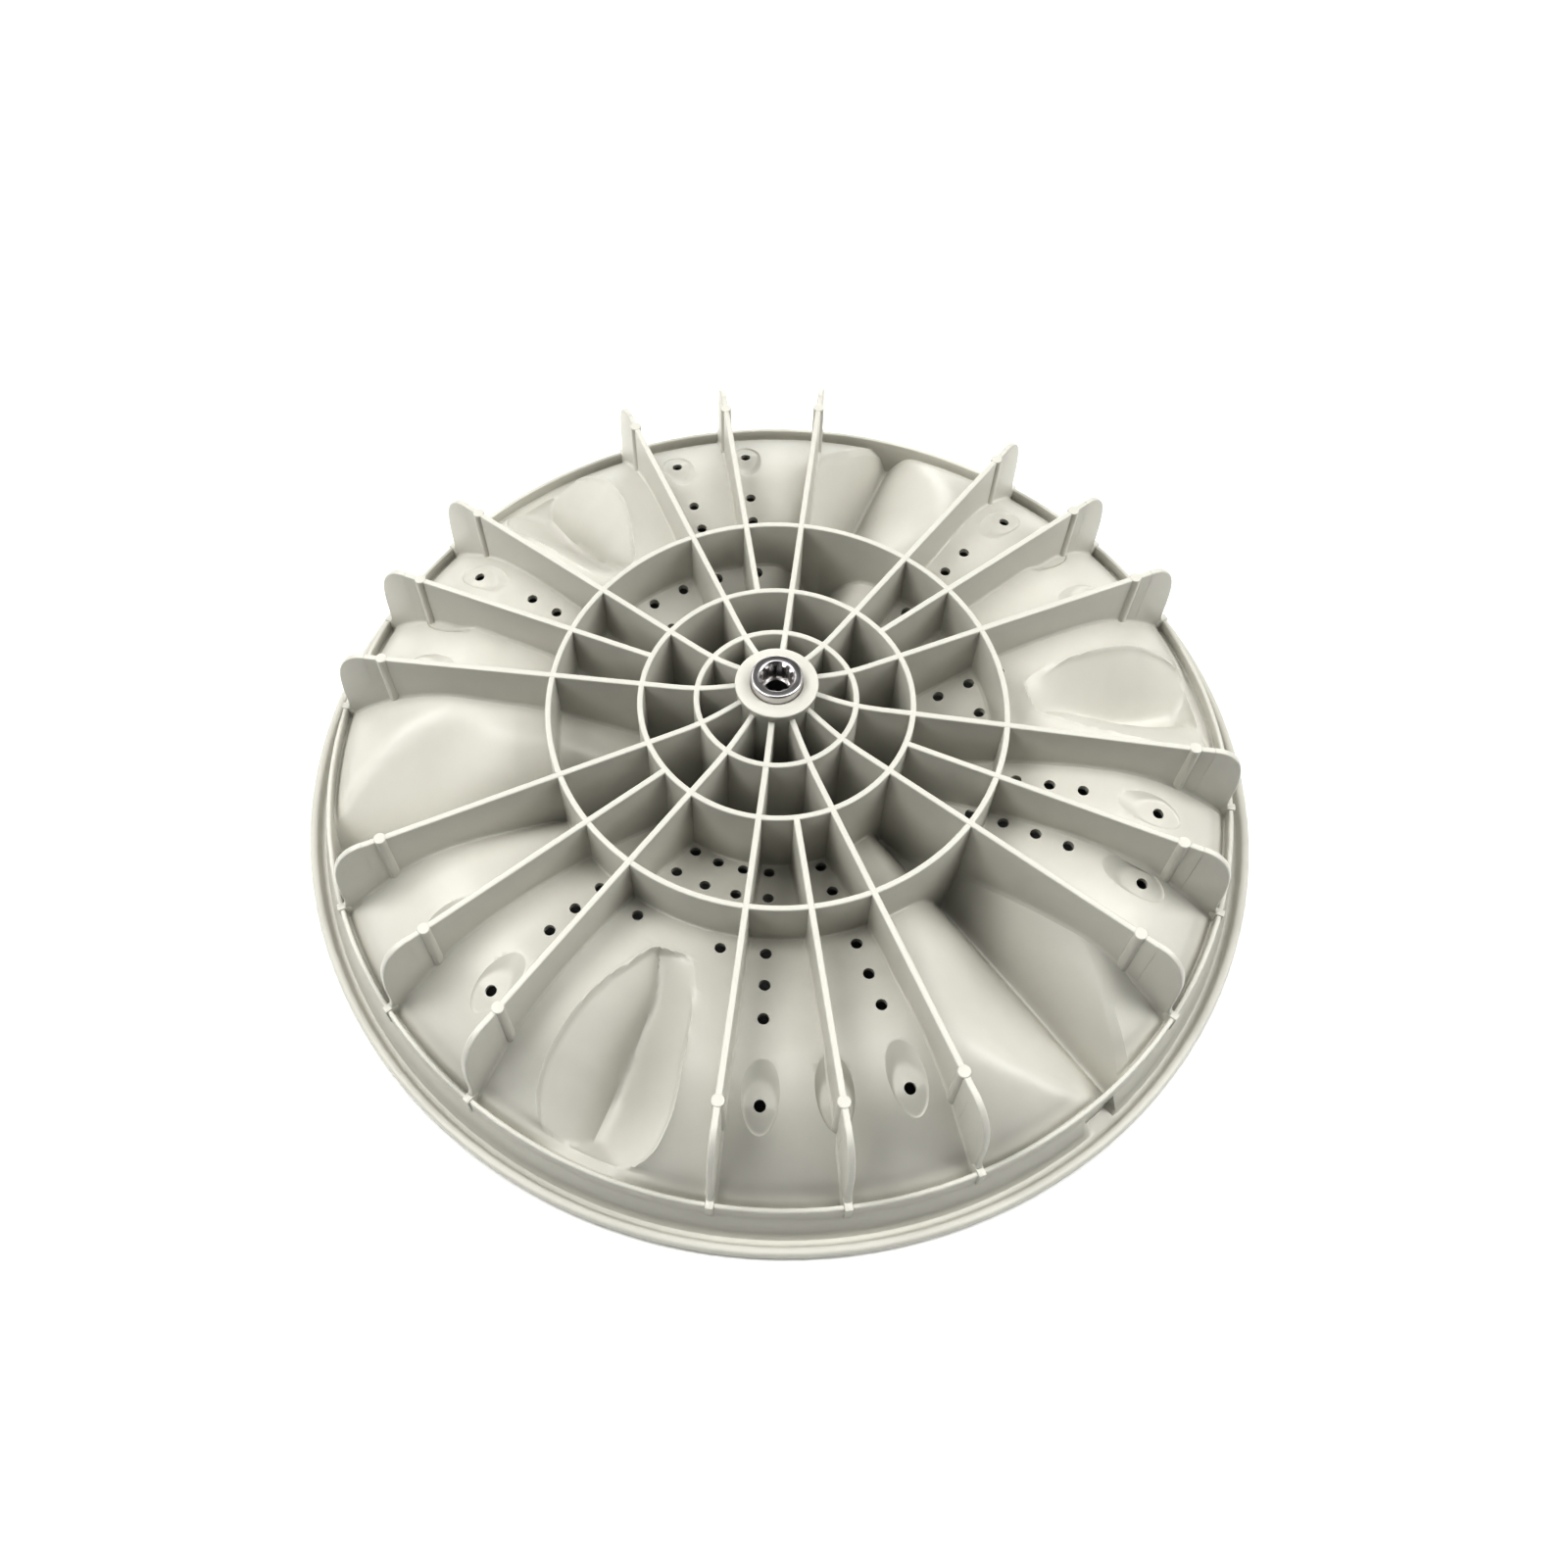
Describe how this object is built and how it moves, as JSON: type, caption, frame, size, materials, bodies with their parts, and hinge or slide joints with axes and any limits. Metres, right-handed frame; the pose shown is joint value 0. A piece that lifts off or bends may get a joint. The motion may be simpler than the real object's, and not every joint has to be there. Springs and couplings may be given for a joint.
{
  "type": "washing machine pulsator",
  "caption": "Shallow round dish with a ribbed underside, drain holes, fins on its wash side, a wall and lip round its rim, and a splined metal insert in its hub.",
  "frame": {"origin": "on the axis, at the level of the fin ends that the part rests on, ribbed underside up", "axes": "+Z along the hub's axis, from the wash side towards the ribbed underside and the shaft; +Y towards a middle rib, turned by 10 degrees"},
  "size_m": [0.3646, 0.3646, 0.0723],
  "materials": {
    "moulding": "semi-gloss off-white polypropylene",
    "insert": "turned, bright"
  },
  "bodies": {
    "root": {"pulsator_body": "moulding", "spline_insert": "insert"}
  },
  "joints": []
}
